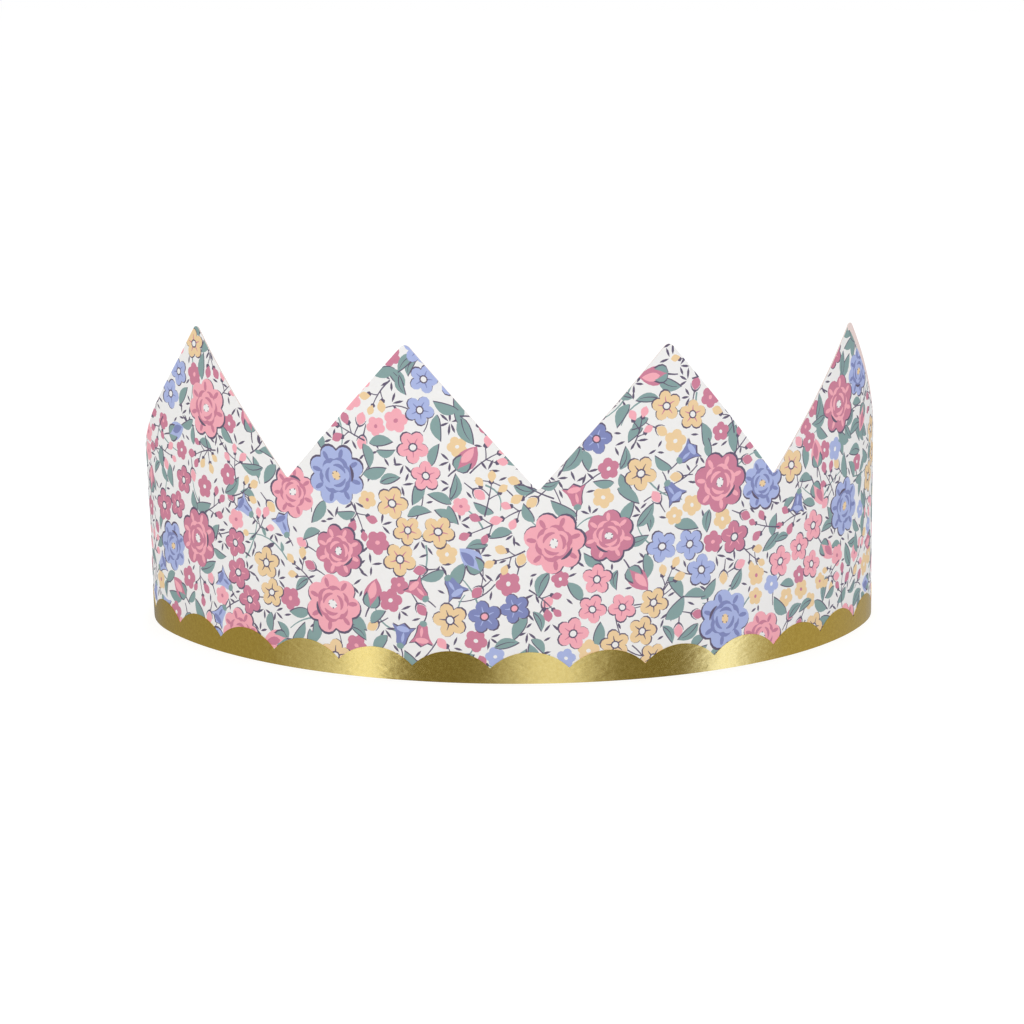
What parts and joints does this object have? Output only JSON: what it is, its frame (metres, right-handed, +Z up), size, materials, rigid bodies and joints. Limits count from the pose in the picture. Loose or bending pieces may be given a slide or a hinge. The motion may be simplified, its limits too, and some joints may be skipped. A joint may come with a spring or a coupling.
{
  "type": "birthday crown",
  "caption": "Party crown of printed card: a ring with pointed front, low straps closed at the back by a tongue in a slot, and a scalloped gold foil border.",
  "frame": {"origin": "middle of the ring's bounding box, at the level of the lower edge that it stands on", "axes": "+Z up through the ring towards the tips, -Y towards the pointed front, +X to the right of someone who looks at that front"},
  "size_m": [0.1966, 0.1696, 0.0833],
  "materials": {
    "card": "smooth uncoated off-white card",
    "gold_foil": "satin gold foil",
    "rose_ink": "flat printed ink",
    "pink_ink": "flat printed ink",
    "blue_ink": "flat printed ink",
    "ochre_ink": "flat printed ink",
    "green_ink": "flat printed ink"
  },
  "bodies": {
    "root": {"card_band": "card", "foil_border": "gold_foil", "print_rose": "rose_ink", "print_pink": "pink_ink", "print_blue": "blue_ink", "print_ochre": "ochre_ink", "print_green": "green_ink"}
  },
  "joints": []
}
